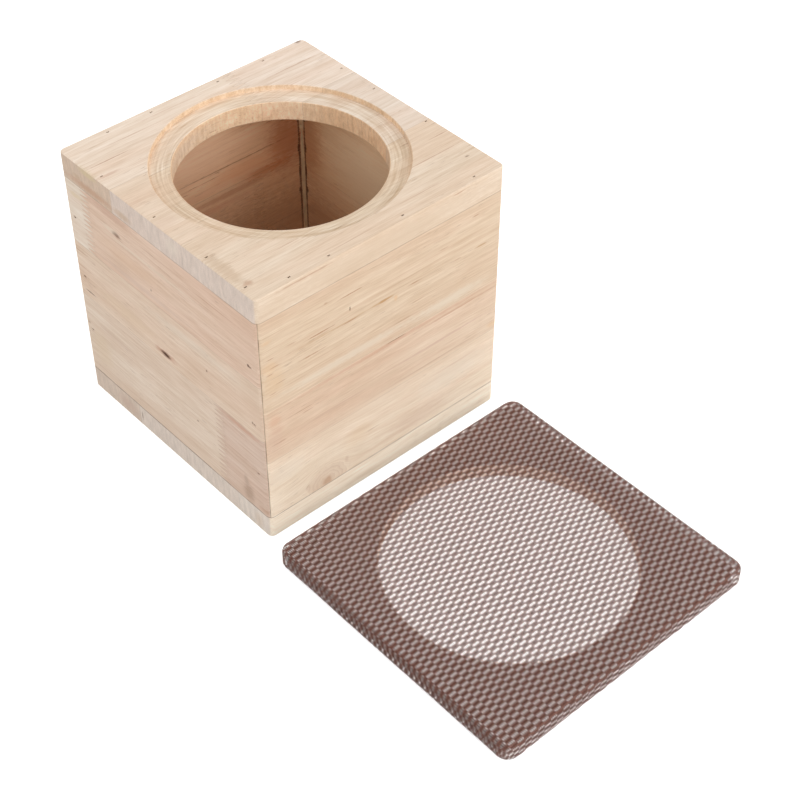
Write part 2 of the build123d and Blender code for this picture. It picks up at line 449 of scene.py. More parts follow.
def fill_finger_line(g: Graph, given: Given) -> Made:
    """The thin glue line of a finger joint: a zigzag of blunt wedges.

    Args:
        g: The group's graph.
        given: The group's inputs by name.

    Returns:
        The group's outputs by name.
    """
    along, across, _ = g.split(given("Board"))
    tooth = ((across - given("Low")) / given("Pitch")).fract()
    rise = 1.0 - (tooth * 2.0 - 1.0).abs()
    blunt = ((rise - 0.14) / 0.72).clamp()
    line = given("Middle") + (blunt - 0.5) * given("Length")
    # The line is steep, so a distance along the board shrinks across it.
    near = (along - line).abs() * (given("Pitch") * 0.46 / given("Length"))
    broken = g.pattern(given("Board"), Pattern.LINE_GAPS).step(0.3, 0.6)
    return {"Mask": near.step(0.42, 0.08) * (broken * 0.55 + 0.45)}


def fill_mark(g: Graph, given: Given) -> Made:
    """One soft-edged mark on a board: a fleck, stain, streak, flaw, painted shadow or painted pool of light.

    Args:
        g: The group's graph.
        given: The group's inputs by name.

    Returns:
        The group's outputs by name.
    """
    away = (given("Board") - given("Centre")) / given("Size")
    reach = g.length(away) + given("Ragged").swing(1.1)
    return {"Mask": reach.step(1.15, 0.25) * given("Strength")}


def fill_seam(g: Graph, given: Given) -> Made:
    """The fine dark line where two boards meet, broken here and there: partly the joint's own colour and
    partly painted shade in the fine gap.

    Args:
        g: The group's graph.
        given: The group's inputs by name.

    Returns:
        The group's outputs by name.
    """
    gap = (given("Place") - given("Seam")).abs() / given("Width")
    broken = g.pattern(given("Board"), Pattern.SEAM_GAPS).step(0.3, 0.62)
    return {"Mask": gap.step(1.0, 0.2) * given("Strength") * (broken * 0.65 + 0.35)}


MASK: Sockets = {Kind.NUMBER: ("Mask",)}
GRAIN = shader_group(
    "sawn_grain",
    fill_grain,
    {
        Kind.PLACE: ("Board",),
        Kind.NUMBER: ("Seed", "Ring Pitch", "Ring Contrast", "Bands", "Pores", "Pith Across", "Pith Depth"),
        Kind.COLOUR: ("Light", "Dark", "Warm", "Pore Colour"),
    },
    {Kind.COLOUR: ("Colour",), Kind.NUMBER: ("Height", "Roughness", "Ragged")},
)
END_GRAIN = shader_group(
    "cut_end",
    fill_end_grain,
    {Kind.PLACE: ("Board", "Normal", "Grain"), Kind.COLOUR: ("Colour", "Cut Colour")},
    {Kind.COLOUR: ("Colour",)},
)
KNOT = shader_group(
    "wood_knot",
    fill_knot,
    {Kind.PLACE: ("Board", "Centre"), Kind.NUMBER: ("Radius",)},
    {Kind.PLACE: ("Bent",), Kind.NUMBER: ("Inside", "Rings", "Heart")},
)
ROUTED = shader_group(
    "routed_faces",
    fill_routed,
    {Kind.PLACE: ("Place",), Kind.NUMBER: ("Hole", "Ring", "Floor")},
    {Kind.NUMBER: ("Wall", "Floor", "Step", "Lines")},
)
INSIDE = shader_group(
    "inside_faces", fill_inside, {Kind.PLACE: ("Place",), Kind.NUMBER: ("Half", "Bottom")}, MASK
)
FINGER_LINE = shader_group(
    "finger_line",
    fill_finger_line,
    {Kind.PLACE: ("Board",), Kind.NUMBER: ("Middle", "Low", "Pitch", "Length")},
    MASK,
)
MARK = shader_group(
    "wood_mark",
    fill_mark,
    {Kind.PLACE: ("Board", "Centre", "Size"), Kind.NUMBER: ("Ragged", "Strength")},
    MASK,
)
SEAM = shader_group(
    "board_seam",
    fill_seam,
    {Kind.PLACE: ("Board",), Kind.NUMBER: ("Place", "Seam", "Width", "Strength")},
    MASK,
)


class Surface:
    """One material: its graph, its shader and the place on the piece."""

    def __init__(self, name: str) -> None:
        """Starts an empty material with a name.

        Args:
            name: The material's name.
        """
        self.material = bpy.data.materials.new(name)
        self.material.use_nodes = True
        self.graph = Graph(self.material.node_tree)
        coordinates = self.graph.node("ShaderNodeTexCoord", {}).outputs
        self.millimetres = Value(self.graph, coordinates["Object"]) * (1.0 / MM)
        self.normal = Value(self.graph, coordinates["Normal"])

    def finish(self, height: Value, depth: float, **values: object) -> bpy.types.Material:
        """Sets the shader's sockets and its bump.

        Args:
            height: A height from 0 to 1.
            depth: How many millimetres a height of 1 stands for.
            values: The shader's other sockets by name (spaces as underscores).

        Returns:
            The material.
        """
        bump = {"Strength": 1.0, "Distance": depth * MM, "Height": height}
        values["Normal"] = self.graph.value("ShaderNodeBump", "Normal", bump)
        shader = self.material.node_tree.nodes["Principled BSDF"]
        for name, value in values.items():
            self.graph.put(shader.inputs[label(name)], value)
        return self.material


# ---------------------------------------------------------------------------
# Wood


class Lie(Enum):
    """How a board lies: which axes run along its grain, across it and through it."""

    FLAT = (0, 1, 2)
    FRONT = (0, 2, 1)
    SIDE = (1, 2, 0)

    @property
    def grain(self) -> Triple:
        """The direction of the grain."""
        return tuple(1.0 if axis == self.value[0] else 0.0 for axis in range(3))


class Face(Enum):
    """A face of a board: the place of its marks through the board, and half their depth."""

    OUTER = (-100, 2.5)
    UPPER = (200, 2.5)
    INNER = (82, 4)


@dataclass(frozen=True)
class Mark:
    """A fleck, stain, streak, flaw, painted shadow or painted pool of light on one face of a board.

    Attributes:
        along: Its middle along the grain.
        across: Its middle across the grain.
        length: Half its length.
        width: Half its width.
        colour: Its colour where it is full.
        strength: How much of the colour shows, from 0 to 1.
        through: Its place through the board.
        depth: Half its extent through the board.
    """

    along: float
    across: float
    length: float
    width: float
    colour: Colour
    strength: float
    through: float
    depth: float

    def paint(self, g: Graph, board: Value, ragged: Value, colour: Value) -> Value:
        """Puts the mark on a colour.

        Args:
            g: The material's graph.
            board: The place in the board's own axes.
            ragged: Noise for the mark's edge.
            colour: The colour under it.

        Returns:
            The colour with the mark.
        """
        centre = (self.along, self.across, self.through)
        size = (self.length, self.width, self.depth)
        strength = self.strength
        mask = g.group(MARK, Board=board, Ragged=ragged, Centre=centre, Size=size, Strength=strength)
        return g.mix(mask["Mask"], colour, self.colour)


def marks(*rows: tuple, face: Face = Face.OUTER) -> tuple[Mark, ...]:
    """Makes the marks on one face.

    Args:
        rows: The values of each mark, in the order of its attributes.
        face: Gives the last two values to every row that leaves them out.

    Returns:
        The marks.
    """
    return tuple(Mark(*(*row, *face.value)[: len(fields(Mark))]) for row in rows)


@dataclass(frozen=True)
class Knot:
    """A knot: its middle along, across and through the stave, its radius and colours."""

    centre: Triple
    radius: float
    tint: Colour = (0.70, 0.50, 0.38)
    heart: Colour = (0.55, 0.31, 0.18)

    def paint(self, g: Graph, knot: Made, colour: Value) -> Value:
        """Colours the knot.

        Args:
            g: The material's graph.
            knot: The outputs of the knot's group.
            colour: The wood's colour.

        Returns:
            The colour with the knot in it.
        """
        colour = g.mix(knot["Inside"] * 0.35, colour, self.tint)
        colour = g.mix(knot["Rings"], colour, self.tint)
        return g.mix(knot["Heart"] * 0.75, colour, self.heart)


@dataclass(frozen=True)
class Joint:
    """A finger joint's line: its middle, the stave's two edges, its teeth and its darkness."""

    middle: float
    low: float
    high: float
    pitch: float = 4.0
    length: float = 8.0
    shade: float = 0.20

    def line(self, g: Graph, board: Value) -> Value:
        """Draws the line, with the pitch stretched so that whole teeth fill the stave.

        Args:
            g: The material's graph.
            board: The place in the board's own axes.

        Returns:
            The line's mask.
        """
        width = self.high - self.low
        pitch = width / round(width / self.pitch)
        values = {"Middle": self.middle, "Low": self.low, "Pitch": pitch, "Length": self.length}
        return g.group(FINGER_LINE, Board=board, **values)["Mask"]


@dataclass(frozen=True)
class Cutter:
    """What the router left in the top board.

    Attributes:
        hole: The hole's radius.
        ring: The ring's outer radius.
        floor: The height of the ring's floor.
        wall: Factors on the wood of the hole's wall.
        step: Factors on the wood of the step outside the ring.
        seat: Factors on the wood of the ring's floor.
        chatter: How much the tool marks show in each channel.
    """

    hole: float = 69.0
    ring: float = 83.0
    floor: float = 196.0
    wall: Colour = (1.12, 1.0, 0.83)
    step: Colour = (0.97, 0.91, 0.80)
    seat: Colour = (0.94, 0.925, 0.88)
    chatter: Colour = (0.62, 0.85, 1.15)

    def paint(self, g: Graph, place: Value, wood: Value) -> Value:
        """Colours the routed faces.

        Args:
            g: The material's graph.
            place: The place on the box.
            wood: The wood's colour.

        Returns:
            The colour with the routed faces in it.
        """
        faces = g.group(ROUTED, Place=place, Hole=self.hole, Ring=self.ring, Floor=self.floor)
        colour = wood
        for output, factors in (("Floor", self.seat), ("Step", self.step), ("Wall", self.wall)):
            colour = g.mix(faces[output], colour, wood * factors)
        return colour * (faces["Lines"] * self.chatter + 1.0)


@dataclass(frozen=True)
class Seam:
    """The line where two boards or staves meet: an axis of the box and a place on it. Its dark colour is
    partly the joint's own and partly painted shade in the fine gap.
    """

    axis: int
    place: float
    width: float = 0.5
    strength: float = 0.75
    colour: Colour = (0.20, 0.12, 0.075)


Seams = tuple[Seam, ...]


@dataclass(frozen=True)
class Stave:
    """One stave's own look: what it changes in the board's wood.

    Attributes:
        tone: Factors on the board's colours.
        seed: The grain's seed.
        joint: The middle of its finger joint along the grain, if it has one.
        marks: Its flecks and flaws, and on some staves painted shadows and light.
        knot: Its knot, if it has one.
        changes: Other fields of the wood.
    """

    tone: Colour
    seed: float
    joint: float | None = None
    marks: tuple[Mark, ...] = ()
    knot: Knot | None = None
    changes: dict[str, object] = field(default_factory=dict)


@dataclass(frozen=True)
class Wood:
    """Bare sanded wood of one stave.

    Attributes:
        light: The early wood.
        dark: The late wood of each ring.
        warm: The broad bands.
        cut: The sawn ends.
        pore: The dark dashes and the glue lines.
        inside_lighting: Painted light and shade, as factors on the faces that look into the box.
        ring_pitch: The distance from ring to ring.
        ring_contrast: How much the late wood shows.
        bands: How much the broad bands show.
        pores: How many dark dashes show.
        pith: The pith line's place across and through the board.
        gloss: The strength of its shine.
        relief: How deep its grain is.
    """

    light: Colour
    dark: Colour
    warm: Colour
    cut: Colour = (0.72, 0.60, 0.525)
    pore: Colour = (0.36, 0.21, 0.13)
    inside_lighting: Colour = WHITE
    ring_pitch: float = 4.2
    ring_contrast: float = 0.6
    bands: float = 0.6
    pores: float = 0.7
    pith: tuple[float, float] = (-60.0, -60.0)
    gloss: float = 0.28
    relief: float = 0.12

    def toned(self, factor: Colour) -> "Wood":
        """The same wood with its three colours multiplied.

        Args:
            factor: What they are multiplied by.

        Returns:
            The wood.
        """
        names = ("light", "dark", "warm")
        toned = {name: tuple(a * b for a, b in zip(getattr(self, name), factor)) for name in names}
        return replace(self, **toned)

    def grain(self, g: Graph, board: Value, seed: float) -> Made:
        """Places the grain.

        Args:
            g: The material's graph.
            board: The place in the board's own axes.
            seed: Tells one stave's grain from the next.

        Returns:
            The outputs of the grain's group.
        """
        names = ("Light", "Dark", "Warm", "Ring_Pitch", "Ring_Contrast", "Bands", "Pores")
        values = {name: getattr(self, name.lower()) for name in names}
        values["Pith_Across"], values["Pith_Depth"] = self.pith
        return g.group(GRAIN, Board=board, Seed=seed, Pore_Colour=self.pore, **values)

    def material(
        self, name: str, lie: Lie, stave: Stave, seams: Seams, joint: Joint | None, cutter: Cutter | None
    ) -> bpy.types.Material:
        """Makes the material of one stave.

        Args:
            name: The material's name.
            lie: How the board lies.
            stave: The stave, for its seed, its marks and its knot.
            seams: The seams that the stave touches.
            joint: The finger joint at one end, if it has one.
            cutter: What the router left in it, if anything.

        Returns:
            The material.
        """
        surface = Surface(name)
        g, place = surface.graph, surface.millimetres
        axes = g.split(place)
        bent = board = g.join(*(axes[axis] for axis in lie.value))
        if stave.knot:
            knot = g.group(KNOT, Board=board, Centre=stave.knot.centre, Radius=stave.knot.radius)
            bent = knot["Bent"]
        grain = self.grain(g, bent, stave.seed)
        height, colour = grain["Height"], grain["Colour"]
        ends = {"Normal": surface.normal, "Grain": lie.grain, "Colour": colour, "Cut_Colour": self.cut}
        colour = g.group(END_GRAIN, Board=board, **ends)["Colour"]
        if stave.knot:
            colour = stave.knot.paint(g, knot, colour)
        for mark in stave.marks:
            colour = mark.paint(g, board, grain["Ragged"], colour)
        if cutter:
            colour = cutter.paint(g, place, colour)
        # Painted light and shade on the faces that look into the box.
        if self.inside_lighting != WHITE:
            faces = g.group(INSIDE, Place=place, Half=HALF_ROOM, Bottom=ROOM_FLOOR)
            colour = g.mix(faces["Mask"], colour, colour * self.inside_lighting)
        if joint:
            line = joint.line(g, board)
            colour = g.mix(line * joint.shade, colour, self.pore)
            height = height - line
        for seam in seams:
            values = {"Seam": seam.place, "Width": seam.width, "Strength": seam.strength}
            line = g.group(SEAM, Board=board, Place=axes[seam.axis], **values)["Mask"]
            colour = g.mix(line, colour, seam.colour)
            height = height - line
        values = {"Base_Color": colour, "Roughness": grain["Roughness"], "Specular_IOR_Level": self.gloss}
        return surface.finish(height, self.relief, **values)


@dataclass(frozen=True)
class GluedBoard:
    """One of the box's boards, with a finish for each of its staves.

    Attributes:
        name: The start of its nodes' names.
        lie: How it lies.
        wood: The wood that its staves vary.
        staves: The staves by the rest of the node's name.
        seams: The lines where it meets other boards.
        cutter: What the router left in it.
    """

    name: str
    lie: Lie
    wood: Wood
    staves: dict[str, Stave]
    seams: Seams = ()
    cutter: Cutter | None = None

    def dress(self) -> None:
        """Gives every stave its own material, with a fine seam wherever it meets another."""
        across = self.lie.value[1]
        nodes = {f"{self.name}_{rest}": stave for rest, stave in self.staves.items()}
        edges = {node: [corner[across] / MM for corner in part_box(node)] for node in nodes}
        outer = (min(low for low, _ in edges.values()), max(high for _, high in edges.values()))
        for node, stave in nodes.items():
            inner = [edge for edge in edges[node] if min(abs(edge - end) for end in outer) > SLACK]
            seams = (*self.seams, *(Seam(across, edge, width=0.28, strength=0.3) for edge in inner))
            joint = None if stave.joint is None else Joint(stave.joint, *edges[node])
            wood = replace(self.wood, **stave.changes).toned(stave.tone)
            give(node, wood.material(node, self.lie, stave, seams, joint, self.cutter))
            log.info("dressed %s", node)


def give(node: str, material: bpy.types.Material) -> None:
    """Puts a material on a CAD node.

    Args:
        node: The node's name.
        material: Its new and only material.
    """
    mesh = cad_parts[node].data
    mesh.materials.clear()
    mesh.materials.append(material)


# ---------------------------------------------------------------------------
# The box

SIDEWAYS, UP = 0, 2
SLACK = 1.0
HALF_ROOM = 82.0
ROOM_FLOOR = 18.0
ROOM_CEILING = 182.0
BROWN: Colour = (0.17, 0.075, 0.04)
RUST: Colour = (0.50, 0.27, 0.16)
ROSE: Colour = (0.72, 0.50, 0.38)
ORANGE: Colour = (0.80, 0.53, 0.30)
TAN: Colour = (0.58, 0.41, 0.27)
PALE: Colour = (0.86, 0.76, 0.62)
DUSK: Colour = (0.45, 0.33, 0.25)
HONEY: Colour = (0.84, 0.65, 0.49)

CREAM_WOOD = Wood(light=(0.86, 0.71, 0.56), dark=(0.70, 0.53, 0.38), warm=(0.82, 0.62, 0.46))
HONEY_WOOD = Wood(light=(0.86, 0.69, 0.51), dark=(0.70, 0.48, 0.31), warm=(0.82, 0.61, 0.44))
ROSE_WOOD = Wood(light=(0.82, 0.67, 0.54), dark=(0.66, 0.47, 0.34), warm=(0.77, 0.58, 0.45))
HIDDEN_SEAMS = (Seam(UP, ROOM_CEILING, strength=0.5), Seam(UP, ROOM_FLOOR, strength=0.7))


# The marks: middle along and across, half the length and width, colour, strength, and for
# some their own place and depth through the board.

TOP_FRONT = marks(
    (-95, -63, 6, 26, TAN, 0.45),
    (-92, -84, 4, 3, RUST, 0.5),
    (91, -47.9, 9, 0.5, RUST, 0.7),
    (70, -62.9, 32, 0.45, RUST, 0.6),
    (88.6, -77, 2.2, 0.9, BROWN, 0.6),
    (40, -86, 20, 0.4, RUST, 0.45),
    (-52, -71, 16, 0.45, RUST, 0.45),
    (-20, -93, 26, 0.4, RUST, 0.4),
    (0, -60, 60, 14, ROSE, 0.12),
    (0, -100, 130, 3, (0.72, 0.545, 0.385), 0.6, 190, 16),
    (-62, -100, 24, 2, RUST, 0.55, 198, 0.8),
    (60, -100, 6, 2, RUST, 0.6, 198, 0.7),
    face=Face.UPPER,
)
TOP_MIDDLE_LEFT = marks(
    (-94, -6, 10, 8, ROSE, 0.25),
    (-95, 22, 8, 5, ROSE, 0.15),
    (-100, 33, 4, 12, TAN, 0.6, 186, 3.5),
    (-100, -20, 4, 9, PALE, 0.3, 192, 7),
    face=Face.UPPER,
)
TOP_BACK_LONG = marks(
    (-82, 70, 20, 0.5, RUST, 0.7),
    (-91, 57, 11, 1.6, ROSE, 0.7),
    (-60, 83, 30, 0.5, RUST, 0.4),
    (-20, 91, 40, 0.6, ROSE, 0.5),
    # A painted shadow line at the bottom of the board's left end, where it meets the left wall.
    (-100, 66, 4, 32, (0.58, 0.37, 0.25), 0.85, 186, 3.8),
    (-100, 68, 4, 12, (0.70, 0.56, 0.34), 0.7, 198, 3),
    (-100, 81, 4, 5, TAN, 0.6, 190, 2),
    (-100, 43.2, 4, 0.5, BROWN, 0.55, 190, 9),
    (-36, 58, 45, 40, (0.735, 0.64, 0.59), 0.6, 188, 8),
    face=Face.UPPER,
)
TOP_BACK_SHORT = marks(
    (74, 77, 27, 0.5, RUST, 0.65),
    (95, 98.3, 3, 1.6, BROWN, 0.7),
    (60, 60, 20, 0.5, ROSE, 0.5),
    face=Face.UPPER,
)
BOTTOM_FRONT = marks(
    (10, 8, 30, 30, ROSE, 0.12, -100, 9),
    (-100, -88, 3, 6, TAN, 0.3, 8, 8),
)
BOTTOM_CENTRE = marks(
    (-100, 41, 3, 0.7, BROWN, 0.7, 9.5, 4.5),
    (-100, 57, 3, 14, (0.62, 0.45, 0.36), 0.5, 9, 7),
)
FRONT_LOWER = marks(
    (-67.9, 25, 2.2, 4, RUST, 0.25),
    (-35, 30, 2, 3.5, RUST, 0.2),
    (28, 29, 36, 10, ROSE, 0.30),
    (-85, 52, 20, 10, PALE, 0.4),
    (-25, 45, 16, 10, ORANGE, 0.22),
    (60, 50, 40, 12, PALE, 0.4),
    (-12, 43, 7, 0.5, RUST, 0.5),
    (60, 57, 34, 0.5, ROSE, 0.5),
    (0, 66, 140, 8, (0.80, 0.61, 0.45), 0.40),
)
FRONT_MIDDLE = marks(
    (-91, 100, 6, 7, (0.72, 0.40, 0.25), 0.35),
    (-90, 91, 7, 3, (0.70, 0.42, 0.27), 0.35),
    (0, 108, 110, 1.8, (0.66, 0.38, 0.25), 0.50),
    (60, 104.6, 42, 1, (0.62, 0.36, 0.24), 0.65),
    (8.6, 109, 10, 0.5, BROWN, 0.55),
    (-88.5, 80.3, 8, 0.6, RUST, 0.75),
    (35, 70.7, 62, 0.7, RUST, 0.65),
    (45, 85.5, 55, 1.2, ROSE, 0.75),
    (-40, 82, 30, 0.8, ROSE, 0.6),
    (-70, 96, 12, 0.5, RUST, 0.5),
    (-66, 93, 6, 0.6, RUST, 0.5),
    (-92, 84, 8, 14, ROSE, 0.4),
    (-50, 69, 16, 1, RUST, 0.3),
    (95, 72, 6, 3, ORANGE, 0.5),
    (0, 67, 140, 9, (0.88, 0.71, 0.54), 0.45),
)
FRONT_UPPER = marks(
    (-90, 133, 9, 15, (0.80, 0.54, 0.31), 0.32),
    (-93, 145, 7, 5, ORANGE, 0.32),
    (-94, 165, 5, 2, ORANGE, 0.4),
    (-53, 149.7, 14, 0.6, RUST, 0.9),
    (-30, 145.7, 11, 0.6, RUST, 0.8),
    (-2, 146.4, 9.5, 1.2, (0.56, 0.32, 0.15), 0.95),
    (-30, 146.4, 56, 0.6, (0.60, 0.38, 0.20), 0.5),
    (23.6, 147, 6, 0.6, RUST, 0.8),
    (40, 146.6, 20, 0.6, TAN, 0.45),
    (82, 146.4, 7, 0.8, (0.56, 0.34, 0.18), 0.8),
    (60, 146, 5, 0.6, RUST, 0.5),
    (-60, 136.4, 11, 0.7, RUST, 0.75),
    (-84, 134.6, 16, 0.5, TAN, 0.5),
    (-27, 166.9, 14, 0.6, RUST, 0.8),
    (-29.3, 155.4, 0.7, 2, BROWN, 0.8),
    (75.7, 172.9, 4, 0.6, RUST, 0.7),
    (48, 160.6, 5, 0.6, RUST, 0.5),
    (20, 154, 18, 0.5, TAN, 0.5),
    (26, 131, 8, 0.6, RUST, 0.45),
    (15, 121.5, 12, 0.6, RUST, 0.55),
    (-30, 118, 70, 4, PALE, 0.5),
    (55, 116, 40, 5, PALE, 0.5),
    (-48, 170, 2, 0.9, RUST, 0.5),
    (8, 143, 2, 3, ORANGE, 0.6),
    (-92, 151, 4, 0.5, RUST, 0.7),
    (-88, 143.5, 5, 0.5, RUST, 0.65),
    (-93, 139, 3.5, 0.5, RUST, 0.7),
    (-84, 129, 5, 0.5, RUST, 0.6),
    (-91, 123, 4, 0.5, RUST, 0.6),
    (-76, 154, 6, 0.5, RUST, 0.5),
)
LEFT_LOWER_SHORT = marks(
    (-78, 83.6, 24, 2.4, (0.60, 0.34, 0.23), 0.65),
    (-79.3, 27, 7, 10, (0.42, 0.28, 0.20), 0.6),
    (-77, 37, 3, 6, DUSK, 0.45),
    (-95, 22, 6, 3, RUST, 0.4),
    (-84, 66, 14, 0.6, RUST, 0.35),
)
LEFT_LOWER_LONG = marks(
    (-27.9, 54.3, 1.2, 1, BROWN, 0.65),
    (-35, 59, 4, 0.6, DUSK, 0.45),
    (94.3, 60.7, 2, 1.6, DUSK, 0.65),
    (91, 56, 1, 1, BROWN, 0.55),
    (82, 44, 14, 20, (0.74, 0.56, 0.36), 0.3),
    (60, 66, 30, 4, (0.60, 0.44, 0.34), 0.25),
)
LEFT_MIDDLE = marks(
    (1.1, 92.8, 14, 3.8, (0.58, 0.33, 0.22), 0.70),
    (1.1, 92.6, 6, 2.2, (0.07, 0.025, 0.01), 1),
    (86, 91.6, 8, 0.8, BROWN, 0.70),
    (-44, 109, 1, 1.2, BROWN, 0.7),
    (-89, 96.4, 1.2, 1.2, BROWN, 0.7),
    (-90, 115, 14, 14, (0.72, 0.52, 0.38), 0.45),
    (-30, 122, 60, 5, (0.80, 0.68, 0.56), 0.4),
    (90, 103, 2, 1.2, BROWN, 0.4),
    (45, 100, 40, 8, (0.76, 0.58, 0.40), 0.4),
    (90, 111, 14, 0.8, RUST, 0.45),
    (92, 124, 12, 0.8, RUST, 0.5),
)
LEFT_UPPER_LONG = marks(
    (42.9, 165.3, 5.8, 2.2, (0.20, 0.07, 0.03), 1),
    # A painted shadow line under the top board's left end.
    (50, 179, 34, 4.4, (0.58, 0.36, 0.26), 0.55),
    (9.6, 141, 0.9, 1.4, BROWN, 0.6),
    (-89, 143.8, 1.3, 1.4, (0.10, 0.04, 0.02), 0.9),
    (-60, 169.2, 34, 0.5, RUST, 0.6),
    (0, 172, 40, 0.5, RUST, 0.4),
    (30, 150, 44, 8, (0.74, 0.50, 0.34), 0.45),
    (-30, 154, 60, 4, (0.76, 0.55, 0.40), 0.30),
    (10, 161, 60, 2, PALE, 0.3),
    (48, 166, 12, 3, PALE, 0.35),
    (20, 136, 60, 3, (0.66, 0.50, 0.42), 0.3),
)
LEFT_UPPER_SHORT = marks(
    (92, 152, 1.4, 1.6, DUSK, 0.7),
    (86, 172, 12, 2.4, (0.76, 0.60, 0.40), 0.6),
)
BACK_LOWER = marks(
    (40, 70, 110, 40, (0.40, 0.26, 0.17), 0.55),
    (10, 60, 1.4, 1.2, BROWN, 0.8),
    face=Face.INNER,
)
BACK_STREAKS = marks(
    (68, 140, 22, 30, (0.46, 0.17, 0.07), 0.60),
    (-20, 112, 60, 4, (0.66, 0.36, 0.26), 0.40),
    (20, 119, 60, 3, (0.44, 0.19, 0.10), 0.35),
    (30, 134, 34, 8, (0.84, 0.50, 0.33), 0.50),
    (-20, 158, 60, 22, (0.82, 0.66, 0.56), 0.40),
    (48, 124, 26, 5, (0.58, 0.22, 0.09), 0.55),
    (20, 142, 60, 0.7, (0.30, 0.12, 0.07), 0.60),
    (-10, 128, 60, 3, (0.80, 0.56, 0.44), 0.45),
    face=Face.INNER,
)
RIGHT_INNER = marks(
    # A painted pool of light.
    (6, 134, 62, 42, (0.83, 0.71, 0.56), 0.70),
    # A painted shadow beside the top of the glue bead.
    (76, 138, 20, 44, (0.52, 0.24, 0.10), 0.55),
    (52, 70, 50, 32, (0.44, 0.25, 0.15), 0.50),
    face=Face.INNER,
)


@dataclass(frozen=True)
class Box:
    """The six boards of the box, their glue and their brads."""

    def top(self) -> GluedBoard:
        """The top board, with the hole and the ring round it.

        Returns:
            The board, with the look of each stave.
        """
        plain = {"pith": (120, 120), "ring_contrast": 0.4}
        dull = {"pith": (-40, 130), "cut": (0.63, 0.475, 0.357)}
        bright = {"pith": (190, 150), "cut": HONEY}
        staves = {
            "front": Stave((0.99, 0.975, 0.96), 1.3, marks=TOP_FRONT, changes={"pith": (-190, 150)}),
            "middle_left": Stave((0.99, 0.955, 0.935), 2.1, marks=TOP_MIDDLE_LEFT, changes=plain),
            "middle_right": Stave((1.01, 1.03, 1.09), 2.1, changes={**plain, "cut": HONEY}),
            "back_long": Stave((1.06, 1.06, 1.09), 3.7, 32.0, TOP_BACK_LONG, changes=dull),
            "back_short": Stave((1.06, 1.06, 1.11), 4.9, 32.0, TOP_BACK_SHORT, changes=bright),
        }
        seam = Seam(UP, ROOM_CEILING, strength=0.4)
        return GluedBoard("top_board", Lie.FLAT, CREAM_WOOD, staves, (seam,), Cutter())

    def bottom(self) -> GluedBoard:
        """The bottom board.

        Returns:
            The board, with the look of each stave.
        """
        calm = {"ring_contrast": 0.35, "bands": 0.3}
        staves = {
            "front": Stave((1.16, 1.24, 1.28), 5.3, marks=BOTTOM_FRONT, changes=calm),
            "middle_short": Stave((1.0, 0.97, 0.93), 6.1, -38.0),
            "middle_long": Stave((1.03, 1.0, 0.98), 7.7, -38.0),
            "centre": Stave((0.98, 0.94, 0.90), 8.9, marks=BOTTOM_CENTRE),
            "back": Stave((1.0, 0.98, 0.97), 9.4, marks=BOTTOM_CENTRE, changes={"cut": (0.68, 0.56, 0.47)}),
        }
        # Painted shade on the floor inside the box: darker and warmer.
        wood = replace(CREAM_WOOD, inside_lighting=(0.95, 0.72, 0.52), cut=(0.74, 0.65, 0.58))
        return GluedBoard("bottom_board", Lie.FLAT, wood, staves, (Seam(UP, ROOM_FLOOR, strength=0.85),))

    def front(self) -> GluedBoard:
        """The front wall, with its knot.

        Returns:
            The board, with the look of each stave.
        """
        knot = Knot((-51.6, 21.0, -100.0), 12.0, (0.72, 0.53, 0.39), (0.62, 0.39, 0.25))
        broad = {"ring_pitch": 6.0}
        banded = {"ring_pitch": 5.0, "bands": 0.75}
        narrow = {"ring_pitch": 3.4, "ring_contrast": 0.7}
        staves = {
            "lower": Stave((1.09, 1.135, 1.195), 10.3, marks=FRONT_LOWER, knot=knot, changes=broad),
            "middle": Stave((0.95, 0.915, 0.92), 11.8, marks=FRONT_MIDDLE, changes=banded),
            "upper": Stave((0.90, 0.87, 0.85), 12.6, marks=FRONT_UPPER, changes=narrow),
        }
        seams = (
            Seam(UP, ROOM_CEILING, strength=0.4),
            Seam(UP, ROOM_FLOOR, strength=0.7, colour=(0.30, 0.17, 0.10)),
            Seam(SIDEWAYS, -98.7, 0.45, 0.8),
        )
        return GluedBoard("front_wall", Lie.FRONT, HONEY_WOOD, staves, seams)

    def left(self) -> GluedBoard:
        """The left wall, with both of its finger joints.

        Returns:
            The board, with the look of each stave.
        """
        calm = {"bands": 0.4, "ring_contrast": 0.35}
        narrow = {"ring_pitch": 3.6}
        faint = {"ring_contrast": 0.3}
        staves = {
            "lower_short": Stave((0.875, 0.815, 0.81), 13.2, -53.0, LEFT_LOWER_SHORT, changes={"bands": 0.4}),
            "lower_long": Stave((0.97, 0.965, 0.955), 14.8, -53.0, LEFT_LOWER_LONG, changes=calm),
            "middle": Stave((0.98, 0.945, 0.91), 15.5, marks=LEFT_MIDDLE),
            "upper_long": Stave((0.965, 0.88, 0.84), 16.9, 76.0, LEFT_UPPER_LONG, changes=narrow),
            "upper_short": Stave((1.02, 1.06, 1.08), 17.4, 76.0, LEFT_UPPER_SHORT, changes=faint),
        }
        seams = (Seam(UP, ROOM_CEILING, strength=0.5), Seam(UP, ROOM_FLOOR, 0.9, 0.9))
        return GluedBoard("left_wall", Lie.SIDE, ROSE_WOOD, staves, seams)

    def bead_shadow(self) -> tuple[Mark, ...]:
        """The painted shadow along the edges of a glue bead on the inner face of a wall: dark, uneven lines.

        Returns:
            Its marks.
        """
        # The painted shadow's colour.
        dark = (0.10, 0.045, 0.02)
        runs = (
            (79.3, 100, 1.2, 90),
            (78.4, 128, 1.1, 5),
            (78.6, 108, 0.9, 7),
            (78.6, 156, 0.9, 9),
            (78.2, 92, 1.3, 3),
        )
        return marks(*((*run, dark, 0.8) for run in runs), face=Face.INNER)

